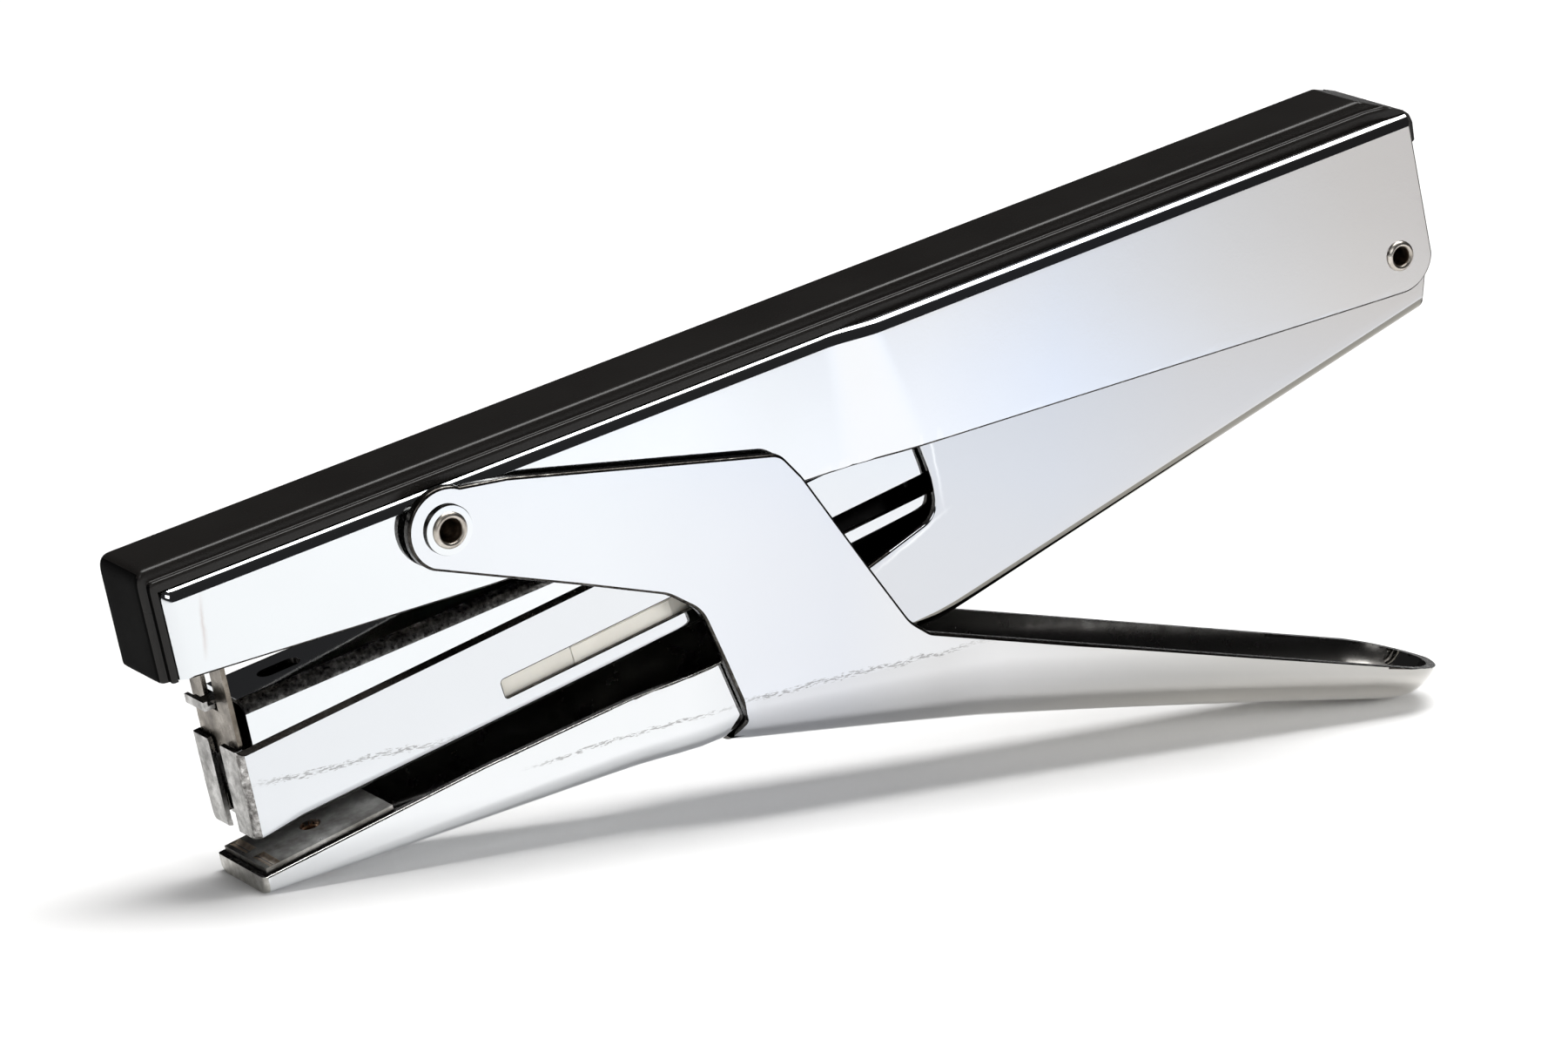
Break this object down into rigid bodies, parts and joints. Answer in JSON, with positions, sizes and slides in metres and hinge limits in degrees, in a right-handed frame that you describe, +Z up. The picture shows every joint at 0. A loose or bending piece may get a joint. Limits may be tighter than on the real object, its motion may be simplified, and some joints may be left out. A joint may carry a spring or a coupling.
{
  "type": "plier stapler",
  "caption": "Chromed plier stapler with a squeeze lever under the arm, a front magazine, an anvil arm and a black plastic top strip.",
  "frame": {"origin": "centre of the bounding box at its bottom, on the surface the open stapler stands on", "axes": "+X towards the rear hinge, +Y across the stapler, +Z up; the stapler stands open on its anvil tip and lever tip"},
  "size_m": [0.2132, 0.0232, 0.0908],
  "materials": {
    "chrome_sheet": "bright chromium plating on pressed steel, smooth",
    "black_plastic": "moulded, semi-matt, faint grain",
    "nickel_steel": "dull warm nickel plating",
    "anvil_nickel": "dull nickel plating, worn round the clinch grooves",
    "cream_nylon": "moulded nylon",
    "spring_steel": "tempered, lightly oiled",
    "copper_rivet": "copper plated",
    "staple_wire": "galvanised wire, glued in a strip"
  },
  "bodies": {
    "arm": {"upper_arm": "chrome_sheet", "top_strip": "black_plastic", "strip_rivets": "nickel_steel", "driver_blade": "nickel_steel", "driver_holder": "nickel_steel", "driver_rivets": "nickel_steel", "lever_rivet": "nickel_steel", "lever_washers": "nickel_steel", "lever_spacers": "nickel_steel", "rear_rivet": "nickel_steel", "rear_washers": "nickel_steel", "rear_bush": "nickel_steel", "magazine_spring": "spring_steel"},
    "magazine": {"magazine_channel": "chrome_sheet", "magazine_cover": "chrome_sheet", "staple_strip": "staple_wire", "guide_rod": "nickel_steel", "rod_bracket": "nickel_steel"},
    "pusher": {"staple_pusher": "cream_nylon", "pusher_spring": "spring_steel"},
    "jaw": {"anvil_arm": "chrome_sheet", "anvil_plate": "anvil_nickel", "anvil_rivet": "copper_rivet", "jaw_spring": "spring_steel"},
    "lever": {"hand_lever": "chrome_sheet"}
  },
  "joints": [
    {"name": "lever_squeeze", "type": "hinge", "parent": "arm", "child": "lever", "pos_m": [-0.06263, 0, 0.04782], "axis": [0, -1, 0], "range_deg": [0, 13], "stiffness_Nm_per_rad": 2.4, "springref_deg": -22.92},
    {"name": "jaw_close", "type": "hinge", "parent": "arm", "child": "jaw", "pos_m": [0.09145, 0, 0.06853], "axis": [0, 1, 0], "range_deg": [0, 4.4], "deforming": ["jaw_spring"]},
    {"name": "magazine_lift", "type": "hinge", "parent": "arm", "child": "magazine", "pos_m": [0.09145, 0, 0.06853], "axis": [0, 1, 0], "range_deg": [0, 3.2], "deforming": ["magazine_spring"]},
    {"name": "pusher_slide", "type": "slide", "parent": "magazine", "child": "pusher", "axis": [0.9554, 0, 0.2952], "range_m": [0, 0.05], "stiffness_N_per_m": 40, "springref_m": -0.03, "deforming": ["pusher_spring"]}
  ],
  "couplings": [
    {"joint": "jaw_close", "follows": "lever_squeeze", "ratio": 0.3384},
    {"joint": "magazine_lift", "follows": "lever_squeeze", "ratio": 0.2461}
  ]
}
